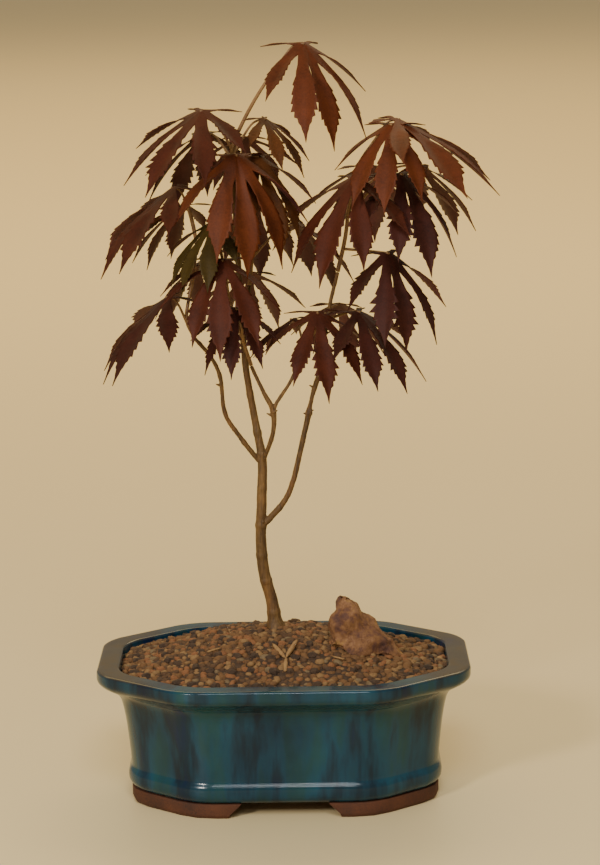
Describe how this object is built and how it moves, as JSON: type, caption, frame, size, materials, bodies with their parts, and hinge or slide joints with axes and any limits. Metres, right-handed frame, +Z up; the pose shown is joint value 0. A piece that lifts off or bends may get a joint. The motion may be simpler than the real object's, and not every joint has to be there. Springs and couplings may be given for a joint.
{
  "type": "potted japanese maple bonsai",
  "caption": "Slim young maple with hanging dark red leaves, grown as a bonsai in a glazed eight-sided clay pot filled with grit.",
  "frame": {"origin": "on the ground under the pot, in the middle of the whole plant's box", "axes": "+Z up along the trunk, +X along the pot's long side to the right, -Y the front"},
  "size_m": [0.2209, 0.152, 0.4126],
  "materials": {
    "glaze": "dark teal glossy glaze with blue streaks",
    "bare_clay": "matt unglazed red clay",
    "grit": "loose brown and tan granules",
    "rock": "rough tan stone",
    "bark": "thin brown bark with small knuckles",
    "foliage": "dark red satin leaves"
  },
  "bodies": {
    "root": {"pot": "glaze", "foot_front_left": "bare_clay", "foot_back_left": "bare_clay", "foot_front_right": "bare_clay", "foot_back_right": "bare_clay", "soil": "grit", "stone": "rock", "trunk": "bark", "bough_left": "bark", "bough_right": "bark", "bough_middle": "bark", "bough_back": "bark", "bough_middle_fork": "bark", "crown_top": "foliage", "crown_left": "foliage", "crown_middle": "foliage", "crown_low": "foliage", "crown_right": "foliage", "crown_back": "foliage"}
  },
  "joints": []
}
